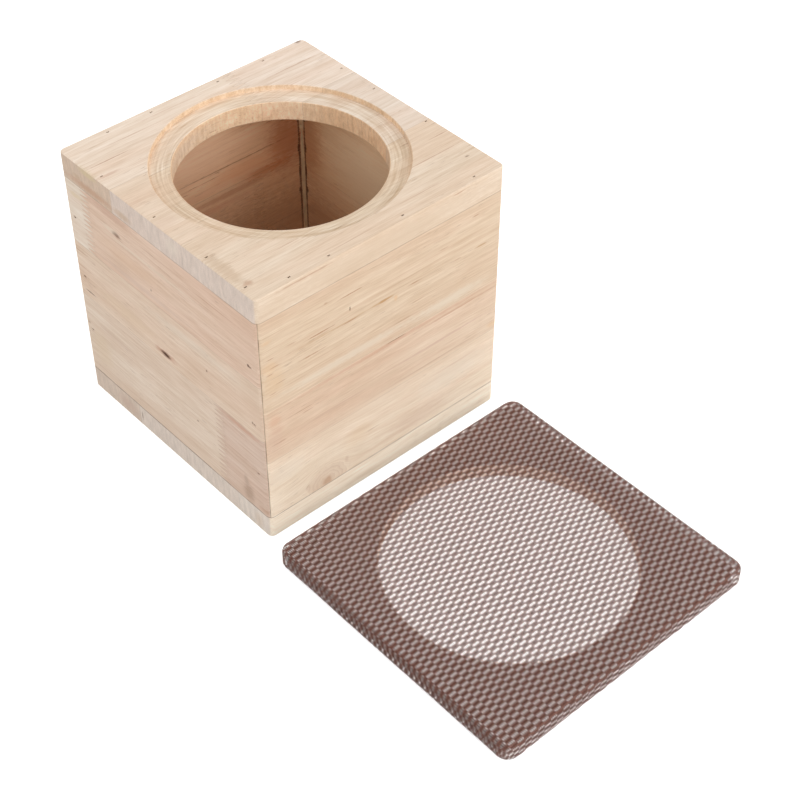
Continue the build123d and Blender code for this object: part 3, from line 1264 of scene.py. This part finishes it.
    def back(self) -> GluedBoard:
        """The back wall, whose reddish inner face shows in the hole.

        Returns:
            The board, with the look of each stave.
        """
        # The painted shadow along the glue bead.
        edge = self.bead_shadow()
        inner = (*BACK_LOWER, *BACK_STREAKS)
        knotted = (*edge, *BACK_LOWER)
        strong = {"ring_contrast": 0.8}
        porous = {"ring_contrast": 0.8, "pores": 1.2}
        staves = {
            "lower": Stave((0.98, 0.96, 0.95), 18.2, marks=knotted, knot=Knot((34.0, 40.0, 100.0), 8.0)),
            "middle_long": Stave((0.96, 0.93, 0.92), 19.6, 41.0, inner, changes=strong),
            "middle_short": Stave((0.98, 0.94, 0.91), 20.3, 41.0, (*inner, *edge)),
            "upper": Stave((1.02, 0.97, 0.94), 21.9, marks=(*BACK_STREAKS, *edge), changes=porous),
        }
        # Painted light on the back wall's inner face: lighter and warmer.
        wood = replace(ROSE_WOOD, inside_lighting=(1.22, 1.05, 0.87), pith=(-20.0, 60.0))
        return GluedBoard("back_wall", Lie.FRONT, wood, staves, HIDDEN_SEAMS)

    def right(self) -> GluedBoard:
        """The right wall, whose inner face shows in the hole, made lighter there with painted light.

        Returns:
            The board, with the look of each stave.
        """
        inner = (*RIGHT_INNER, *self.bead_shadow())
        staves = {
            "lower": Stave((0.97, 0.98, 1.0), 22.4, marks=inner, knot=Knot((-38.0, 37.0, 100.0), 6.5)),
            "middle": Stave((0.95, 0.93, 0.93), 23.1, marks=inner),
            "upper_short": Stave((0.93, 0.90, 0.87), 24.6, -24.0),
            "upper_long": Stave((0.96, 0.95, 0.93), 25.2, -24.0, inner),
        }
        # Painted light on the right wall's inner face: lighter.
        wood = replace(HONEY_WOOD, inside_lighting=(1.20, 1.12, 1.0))
        return GluedBoard("right_wall", Lie.SIDE, wood, staves, HIDDEN_SEAMS)

    def dress(self) -> None:
        """Dresses the boards, the glue and the brads."""
        for board in (self.top(), self.bottom(), self.front(), self.left(), self.back(), self.right()):
            board.dress()
        glue = DriedGlue().material("corner_glue")
        for corner in ("back_left", "back_right", "front_left", "front_right"):
            give(f"glue_bead_{corner}", glue)
        steel = WireSteel((0.34, 0.25, 0.19), 0.55).material("brad_steel")
        for group in ("top_brads", "bottom_brads", "left_corner_brads", "right_corner_brads"):
            give(group, steel)
        log.info("dressed glue and brads")


@dataclass(frozen=True)
class DriedGlue:
    """Yellow-brown glue, dull and a little lumpy."""

    colour: Colour = (0.84, 0.66, 0.43)

    def material(self, name: str) -> bpy.types.Material:
        """Makes the glue's material.

        Args:
            name: The material's name.

        Returns:
            The material.
        """
        surface = Surface(name)
        lumps = surface.graph.pattern(surface.millimetres, Pattern.LUMPS)
        base = self.colour * (lumps * 0.8 + 0.6)
        return surface.finish(lumps, 1.6, Base_Color=base, Roughness=lumps * 0.3 + 0.35)


@dataclass(frozen=True)
class WireSteel:
    """Steel wire of nails and staples, drawn and slightly tarnished."""

    colour: Colour
    roughness: float

    def material(self, name: str) -> bpy.types.Material:
        """Makes the wire's material.

        Args:
            name: The material's name.

        Returns:
            The material.
        """
        surface = Surface(name)
        tarnish = surface.graph.pattern(surface.millimetres, Pattern.TARNISH)
        base = self.colour * (tarnish * 0.5 + 0.75)
        rough = tarnish * 0.2 + (self.roughness - 0.1)
        return surface.finish(tarnish, 0.05, Base_Color=base, Metallic=1.0, Roughness=rough)


# ---------------------------------------------------------------------------
# The lid

# The mesh attribute with each thread vertex's painted shade.
PAINTED_SHADE = "shaded"


@dataclass(frozen=True)
class StainedBoard:
    """The lid's board: stained brown, and raw on the wall of the round window.

    Attributes:
        stain: The stained faces.
        raw: The window's wall.
        radius: The window's radius in millimetres.
    """

    stain: Colour = (0.07, 0.028, 0.018)
    raw: Colour = (0.86, 0.62, 0.44)
    radius: float = 83.0

    def material(self, name: str, centre: Triple) -> bpy.types.Material:
        """Makes the board's material.

        Args:
            name: The material's name.
            centre: The window's axis, in millimetres.

        Returns:
            The material.
        """
        surface = Surface(name)
        g, place = surface.graph, surface.millimetres
        grain = g.pattern(place, Pattern.STAINED)
        blotch = g.pattern(place, Pattern.BLOTCH)
        away = g.length((place - centre) * (1.0, 1.0, 0.0))
        colour = g.mix(away.step(self.radius + 0.6, self.radius + 0.3), self.stain, self.raw)
        colour = colour * ((grain + blotch) * 0.38 + 0.62)
        return surface.finish(grain, 0.15, Base_Color=colour, Roughness=0.6, Specular_IOR_Level=0.3)


@dataclass(frozen=True)
class CoatedThread:
    """A mesh thread: a plastic coat over fibre, with a soft shine.

    Attributes:
        colour: Its colour where it lies free.
        shaded: Its colour where the painted shade is full: in a tie, under a band and on the lid's sides.
        roughness: Its least roughness.
        variation: How much its tone changes from place to place.
        shine: The strength of its gloss.
        cover: How much one wall of it hides; the rest shows through.
        tied_cover: The same in a tie.
    """

    colour: Colour
    shaded: Colour
    roughness: float
    variation: float
    shine: float
    cover: float
    tied_cover: float

    def material(self, name: str) -> bpy.types.Material:
        """Makes the thread's material.

        Args:
            name: The material's name.

        Returns:
            The material.
        """
        surface = Surface(name)
        g = surface.graph
        patches = g.pattern(surface.millimetres, Pattern.PATCHES)
        fine = g.pattern(surface.millimetres, Pattern.FINE)
        tone = patches.swing(self.variation) + 1.0 + fine.swing(self.variation)
        shaded = g.value("ShaderNodeAttribute", "Fac", {}, attribute_name=PAINTED_SHADE)
        # The colour darkens to the painted shade, and the cover changes, as that attribute rises.
        return surface.finish(
            fine,
            0.06,
            Base_Color=g.mix(shaded, self.colour, self.shaded) * tone,
            Roughness=fine * 0.15 + self.roughness,
            Specular_IOR_Level=self.shine,
            Alpha=shaded * (self.tied_cover - self.cover) + self.cover,
        )


# The second colour of each thread is its painted shade.
BAND_COAT = CoatedThread((0.40, 0.175, 0.132), (0.235, 0.098, 0.074), 0.6, 0.9, 0.08, 0.33, 0.66)
WARP_COAT = CoatedThread((0.97, 0.95, 0.93), (0.16, 0.08, 0.06), 0.35, 0.1, 0.4, 1.0, 0.4)


@dataclass
class Wrap:
    """Maps the flat cloth on to the lid's outside: over the top, round and under.

    Attributes:
        low: The lid's lowest corner.
        high: The lid's highest corner.
        skin: The cloth's thickness.
        board: The corners of the board under the cloth.
        corner: The lid's corner radius seen from above, outside the cloth.
        edge: The top edge's radius, outside the cloth.
        foot: The bottom edge's radius at the middle of the cloth.
        hem: How far the cloth goes in under the lid.
        slack: How far from both straight sides a point may lie before it counts as in a corner.
    """

    low: Vector
    high: Vector
    skin: float
    board: tuple[Vector, Vector]
    corner: float = 0.009
    edge: float = 0.0028
    foot: float = 0.0006
    hem: float = 0.018
    slack: float = 0.0015

    def __post_init__(self) -> None:
        """Works out the middle layer of the cloth."""
        middle = self.skin / 2
        low, high = np.array(self.low), np.array(self.high)
        self.centre = ((low + high) / 2)[:2]
        half = ((high - low) / 2)[:2] - middle
        self.radius = self.corner - middle
        self.bend = self.edge - middle
        self.core = half - self.radius
        self.top = high[2] - middle
        self.side = high[2] - low[2] - self.skin - self.bend - self.foot
        self.lengths = np.cumsum([math.pi / 2 * self.bend, self.side, math.pi / 2 * self.foot, self.hem])

    def place(self, flat: np.ndarray) -> tuple[np.ndarray, np.ndarray, np.ndarray]:
        """Puts flat cloth points on the lid.

        Args:
            flat: Points (n, 2), measured from the lid's centre.

        Returns:
            The points (n, 3), their outward normals (n, 3), and which of them are on
            the cloth: past the hem, and under the corners, it is cut away.
        """
        nearest = np.clip(flat, -self.core, self.core)
        away = flat - nearest
        reach = np.linalg.norm(away, axis=1)
        outward = away / np.maximum(reach, 1e-9)[:, None]
        level = self.radius - self.bend
        past = np.maximum(reach - level, 0.0)
        edge_end, side_end, foot_end, hem_end = self.lengths
        turn = np.clip(past / self.bend, 0.0, math.pi / 2)
        down = np.clip(past - edge_end, 0.0, self.side)
        tuck = np.clip((past - side_end) / self.foot, 0.0, math.pi / 2)
        under = np.clip(past - foot_end, 0.0, None)
        out = self.bend * np.sin(turn) - self.foot * (1 - np.cos(tuck)) - under
        drop = self.bend * (1 - np.cos(turn)) + down + self.foot * np.sin(tuck)
        spread = self.centre + nearest + outward * (np.minimum(reach, level) + out)[:, None]
        points = np.column_stack([spread, self.top - drop])
        tilt = turn + tuck
        normals = np.column_stack([outward * np.sin(tilt)[:, None], np.cos(tilt)])
        in_corner = (np.abs(away) > self.slack).all(axis=1)
        return points, normals, past <= np.where(in_corner, foot_end, hem_end)

    def beyond(self, points: np.ndarray) -> np.ndarray:
        """Which points lie outside the board's left, right and back edges."""
        low, high = (np.array(corner) for corner in self.board)
        return (points[:, 0] < low[0]) | (points[:, :2] > high[:2]).any(axis=1)


@dataclass(frozen=True)
class Thread:
    """A mesh thread's section and the spacing of its kind."""

    pitch: float
    width: float
    thickness: float
    outline: tuple[tuple[float, float], ...] = ((1.0, 0.0), (0.0, 1.0), (-1.0, 0.0), (0.0, -1.0))


@dataclass(frozen=True)
class Knit:
    """One point of a thread's line in the flat cloth.

    Attributes:
        along: Its place from side to side.
        across: Its place from front to back.
        edge_shade: How much painted shade it gets on its left and on its right edge, from 0 to 1.
        lift: How far it lies above the cloth's middle layer.
        broad: Its width as a share of the thread's own.
    """

    along: float
    across: float
    edge_shade: tuple[float, float]
    lift: float = 0.0
    broad: float = 1.0


def unit(vectors: np.ndarray) -> np.ndarray:
    """Vectors (n, 3) at a length of 1."""
    return vectors / np.maximum(np.linalg.norm(vectors, axis=1), 1e-12)[:, None]


def tube(
    points: np.ndarray, normals: np.ndarray, widths: np.ndarray, thread: Thread, first: int
) -> tuple[np.ndarray, list[tuple[int, ...]]]:
    """One thread as a closed tube.

    Args:
        points: Its centre line (n, 3).
        normals: The cloth's outward direction at each point.
        widths: Its width at each point.
        thread: Its section.
        first: The index of its first vertex in the mesh.

    Returns:
        Its vertices and faces.
    """
    along = unit(np.gradient(points, axis=0))
    side = unit(np.cross(along, normals))
    up = np.cross(side, along)
    section = np.array(thread.outline)
    ring = points[:, None] + side[:, None] * (section[None, :, 0] * widths[:, None] / 2)[:, :, None]
    ring = ring + up[:, None] * (section[:, 1] * thread.thickness / 2)[None, :, None]
    sides = len(section)
    starts = range(first, first + (len(points) - 1) * sides, sides)
    faces = [
        (a + k, a + (k + 1) % sides, a + sides + (k + 1) % sides, a + sides + k)
        for a in starts
        for k in range(sides)
    ]
    last = first + (len(points) - 1) * sides
    faces.append(tuple(first + k for k in reversed(range(sides))))
    faces.append(tuple(last + k for k in range(sides)))
    return ring.reshape(-1, 3), faces


@dataclass
class LidMesh:
    """The mesh over the lid: broad weft bands that thin warps tie together in turn.

    The bands run from side to side. They swing to and fro in the cloth, so that each
    touches the next band and the one before by turns, with a slot wherever they part.
    They spread between the two, which gives the slots their blunt ends.

    Attributes:
        band: The bands.
        warp: The threads that run from front to back, over and under the bands.
        slot: The distance from the middle of a slot to the middle of the next tie.
        swing: How far a band swings to each side.
        flat: Half of each slot's straight part.
        spread: How broad a band is between a slot and a tie, as a share of its width.
        rise: How far the warps rise in a slot, and how far they sink under a tie.
        shade_near_tie: How much painted shade a band gets at the ends of a tie.
        shade_between: How much painted shade it gets between a slot and a tie.
        turn: How far the cloth is out of square with the lid, in radians.
        cut: The side of the square of cloth.
        notch: The area that is cut away at each of its corners; not used.
        shade: How much painted shade the threads get on the lid's left, right and back sides.
        shortest: The fewest points that a piece of thread has.
    """

    band: Thread = Thread(pitch=0.00238, width=0.00165, thickness=0.00060)
    warp: Thread = Thread(pitch=0.0013125, width=0.00066, thickness=0.00030)
    slot: float = 0.00525
    swing: float = 0.00035
    flat: float = 0.00175
    spread: float = 1.34
    rise: float = 0.00022
    shade_near_tie: float = 0.35
    shade_between: float = 0.15
    turn: float = math.radians(2.0)
    cut: float = 0.264
    notch: float = 0.0010
    shade: float = 0.45
    shortest: int = 4

    def build(self, wrap: Wrap) -> dict[str, bpy.types.Object]:
        """Weaves the cloth over the lid.

        Args:
            wrap: The lid's outside.

        Returns:
            The bands and the warps, each as one mesh.
        """
        bands, warps = (int(self.cut / 2 / thread.pitch) for thread in (self.band, self.warp))
        lines = {
            "lid_mesh_bands": (self.band, [self._band(number) for number in range(-bands, bands)]),
            "lid_mesh_warps": (self.warp, [self._warp(number, bands) for number in range(-warps, warps + 1)]),
        }
        return {name: self._weave(wrap, name, *parts) for name, parts in lines.items()}

    def _band(self, number: int) -> list[Knit]:
        """The line of one band.

        Args:
            number: Counts the bands from the middle.

        Returns:
            Its points from side to side.
        """
        half = int(self.cut / 2 / self.slot) + 1
        row = (number + 0.5) * self.band.pitch
        # Painted shade in a tie: full at its middle, less at its ends.
        shadings = ((-self.flat, self.shade_near_tie), (0.0, 1.0), (self.flat, self.shade_near_tie))
        line = []
        for slot in range(-half, half):
            middle = (slot + 0.5) * self.slot
            away = bool((slot + number) % 2)
            across = row + (self.swing if away else -self.swing)
            for step, shade_amount in shadings:
                line.append(Knit(middle + step, across, (shade_amount, 0.0) if away else (0.0, shade_amount)))
            line.append(Knit(middle + self.slot / 2, row, (self.shade_between, self.shade_between), broad=self.spread))
        return line

    def _warp(self, number: int, rows: int) -> list[Knit]:
        """The line of one warp.

        Args:
            number: Counts the warps from the middle.
            rows: How many bands it crosses on each side of the middle.

        Returns:
            Its points from front to back.
        """
        place = (number + 0.5) * self.warp.pitch
        line = []
        for row in range(-rows, rows):
            in_slot = (math.floor(place / self.slot) + row) % 2 == 1
            # A warp gets full painted shade where it sinks under a band.
            lift, shade_amount = (self.rise, 0.0) if in_slot else (-self.rise, 1.0)
            line.append(Knit(place, row * self.band.pitch, (shade_amount, shade_amount), lift))
        return line

    def _weave(self, wrap: Wrap, name: str, thread: Thread, lines: list[list[Knit]]) -> bpy.types.Object:
        """Makes all threads of one kind into one mesh.

        Args:
            wrap: The lid's outside.
            name: The mesh's name.
            thread: The kind of thread.
            lines: The threads' lines in the flat cloth.

        Returns:
            The object.
        """
        cos, sin = math.cos(self.turn), math.sin(self.turn)
        turn = np.array([[cos, -sin], [sin, cos]])
        right = (np.array(thread.outline)[:, 0] + 1) / 2
        vertices, faces, shadings, first = [], [], [], 0
        for line in lines:
            flat = np.array([(knit.along, knit.across) for knit in line]) @ turn.T
            points, normals, kept = wrap.place(flat)
            points = points + normals * np.array([knit.lift for knit in line])[:, None]
            widths = thread.width * np.array([knit.broad for knit in line])
            # The painted shade on each edge of the thread.
            edge_shade = np.array([knit.edge_shade for knit in line])
            # Painted shade on the lid's left, right and back sides, outside the board's edge.
            edge_shade = np.maximum(edge_shade, self.shade * wrap.beyond(points)[:, None])
            ends = np.flatnonzero(np.diff(np.concatenate([[False], kept, [False]]).astype(int)))
            for start, stop in ends.reshape(-1, 2):
                if stop - start < self.shortest:
                    continue
                part = slice(start, stop)
                ring, sides = tube(points[part], normals[part], widths[part], thread, first)
                vertices.append(ring)
                faces.extend(sides)
                # Each vertex's painted shade, taken from the edge on its side.
                shadings.append((edge_shade[part, :1] * (1 - right) + edge_shade[part, 1:] * right).ravel())
                first += len(ring)
        mesh = bpy.data.meshes.new(name)
        mesh.from_pydata(np.concatenate(vertices).tolist(), [], faces)
        mesh.shade_smooth()
        shaded = mesh.attributes.new(PAINTED_SHADE, "FLOAT", "POINT")
        shaded.data.foreach_set("value", np.concatenate(shadings).astype(np.float32))
        piece = bpy.data.objects.new(name, mesh)
        bpy.context.scene.collection.objects.link(piece)
        log.info("%s: %d vertices, %d faces", name, len(mesh.vertices), len(mesh.polygons))
        return piece


@dataclass
class Lid:
    """The lid: its board, the mesh over it and the staples under it.

    Attributes:
        mesh: The cloth.
        skin: The thickness of the plain solid that it replaces.
        proud_low: How far it stands proud of that solid at the left, the front and below.
        proud_high: The same at the right, the back and above.
    """

    mesh: LidMesh
    skin: float = 0.0016
    proud_low: Triple = (0.0012, 0.0024, 0.0002)
    proud_high: Triple = (0.0035, 0.0016, 0.0003)

    def build(self) -> dict[str, bpy.types.Object]:
        """Weaves the mesh and puts it in place of its plain solid.

        Returns:
            The bands and the warps by name.
        """
        low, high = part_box("lid_mesh")
        low, high = low - Vector(self.proud_low), high + Vector(self.proud_high)
        pieces = self.mesh.build(Wrap(low, high, self.skin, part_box("lid_panel")))
        for piece in pieces.values():
            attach(piece, "lid")
            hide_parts("lid_mesh")
        return pieces

    def dress(self, pieces: dict[str, bpy.types.Object]) -> None:
        """Gives the lid's pieces their materials.

        Args:
            pieces: What build returned.
        """
        pieces["lid_mesh_bands"].data.materials.append(BAND_COAT.material("band_thread"))
        pieces["lid_mesh_warps"].data.materials.append(WARP_COAT.material("warp_thread"))
        low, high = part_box("lid_panel")
        centre = (low + high) / 2 / MM
        give("lid_panel", StainedBoard().material("stained_board", (centre.x, centre.y, 0.0)))
        give("lid_staples", WireSteel((0.62, 0.62, 0.62), 0.35).material("staple_steel"))
        log.info("dressed the lid")


# ---------------------------------------------------------------------------
# The studio


@dataclass(frozen=True)
class Lamp:
    """A square area lamp: its place, its side and its watts."""

    name: str
    place: Triple
    size: float
    power: float

    def hang(self, aim: Vector) -> None:
        """Hangs the lamp so that it shines at a point.

        Args:
            aim: The point.
        """
        data = bpy.data.lights.new(self.name, "AREA")
        data.size = self.size
        data.energy = self.power
        stand(self.name, data, Vector(self.place), aim)


def stand(name: str, data: bpy.types.ID, place: Vector, aim: Vector, roll: float = 0.0) -> bpy.types.Object:
    """Puts a camera or a lamp in the scene.

    Args:
        name: The object's name.
        data: The camera or the lamp.
        place: Where it stands.
        aim: The point that its axis goes through.
        roll: Its turn about that axis, in radians.

    Returns:
        The object.
    """
    item = bpy.data.objects.new(name, data)
    item.location = place
    item.rotation_mode = "QUATERNION"
    item.rotation_quaternion = (aim - place).to_track_quat("-Z", "Y") @ Quaternion((0.0, 0.0, 1.0), roll)
    bpy.context.scene.collection.objects.link(item)
    return item


@dataclass
class Studio:
    """Camera, soft lights and a pale floor.

    Attributes:
        place: Where the camera stands.
        aim: The point that its axis goes through.
        roll: Its turn about that axis, in radians.
        lens: Focal length on a 36 mm sensor.
        sky: The strength of the sky's light.
        floor_tone: The floor's grey.
        floor_reach: Half of its side.
        floor_drop: How far it lies below the box, so that the two don't share a face.
        glow: What the camera sees on the floor beside its light.
        lit: The point that the lamps shine at.
        lamps: The lamps.
    """

    place: Vector = Vector((-0.53854, -0.71202, 0.82883))
    aim: Vector = Vector((-0.02133, -0.13675, 0.1))
    roll: float = math.radians(0.144)
    lens: float = 77.17
    sky: float = 0.72
    floor_tone: float = 0.85
    floor_reach: float = 3.0
    floor_drop: float = 0.0002
    glow: float = 0.70
    lit: Vector = Vector((0.0, -0.1, 0.08))
    lamps: tuple[Lamp, ...] = (
        Lamp("key_lamp", (0.8, -1.9, 0.9), 1.4, 17.0),
        Lamp("side_lamp", (-1.9, -0.3, 0.8), 1.2, 5.0),
        Lamp("top_lamp", (0.3, -0.3, 2.2), 1.4, 4.0),
    )

    def camera(self) -> None:
        """Puts up the camera."""
        data = bpy.data.cameras.new("camera")
        data.sensor_width = 36.0
        data.lens = self.lens
        data.clip_start = 0.01
        bpy.context.scene.camera = stand("camera", data, self.place, self.aim, self.roll)

    def seen(self, g: Graph, *rays: str) -> Value:
        """Masks some kinds of rays: 1 for them, and 0 for the others.

        Args:
            g: The world's or a material's graph.
            rays: The kinds of rays.

        Returns:
            The mask.
        """
        path = g.node("ShaderNodeLightPath", {}).outputs
        first, *others = (Value(g, path[f"Is {ray} Ray"]) for ray in rays)
        for other in others:
            first = g.math("MAXIMUM", first, other)
        return first

    def world(self) -> None:
        """An even white sky that is plain white to the camera and in gloss."""
        world = bpy.data.worlds.new("studio")
        world.use_nodes = True
        g = Graph(world.node_tree)
        background = world.node_tree.nodes["Background"]
        g.put(background.inputs["Color"], WHITE)
        seen = self.seen(g, "Camera", "Glossy", "Transmission")
        g.put(background.inputs["Strength"], seen * (1.0 - self.sky) + self.sky)
        bpy.context.scene.world = world

    def floor(self) -> None:
        """A wide pale floor that shows white and keeps a soft shadow."""
        mesh = bpy.data.meshes.new("floor")
        turns = ((-1, -1), (1, -1), (1, 1), (-1, 1))
        corners = [(x * self.floor_reach, y * self.floor_reach, -self.floor_drop) for x, y in turns]
        mesh.from_pydata(corners, [], [(0, 1, 2, 3)])
        piece = bpy.data.objects.new("floor", mesh)
        bpy.context.scene.collection.objects.link(piece)
        material = bpy.data.materials.new("pale_floor")
        material.use_nodes = True
        material.node_tree.nodes.clear()
        g = Graph(material.node_tree)
        shown = self.seen(g, "Camera", "Transmission") * self.glow
        cloth = g.value("ShaderNodeBsdfDiffuse", 0, {"Color": (self.floor_tone,) * 3})
        glow = g.value("ShaderNodeEmission", 0, {"Color": WHITE, "Strength": shown})
        both = g.value("ShaderNodeAddShader", 0, {0: cloth, 1: glow})
        g.node("ShaderNodeOutputMaterial", {"Surface": both})
        mesh.materials.append(material)

    def build(self) -> None:
        """Sets the whole studio up."""
        self.camera()
        self.world()
        self.floor()
        for lamp in self.lamps:
            lamp.hang(self.lit)
        bpy.context.scene.view_settings.view_transform = "Standard"
        log.info("studio ready")


def main() -> None:
    """Builds and dresses the box and its lid."""
    logging.basicConfig(level=logging.INFO, format="%(message)s")
    Studio().build()
    Box().dress()
    lid = Lid(LidMesh())
    lid.dress(lid.build())


if __name__ == "__main__":
    main()
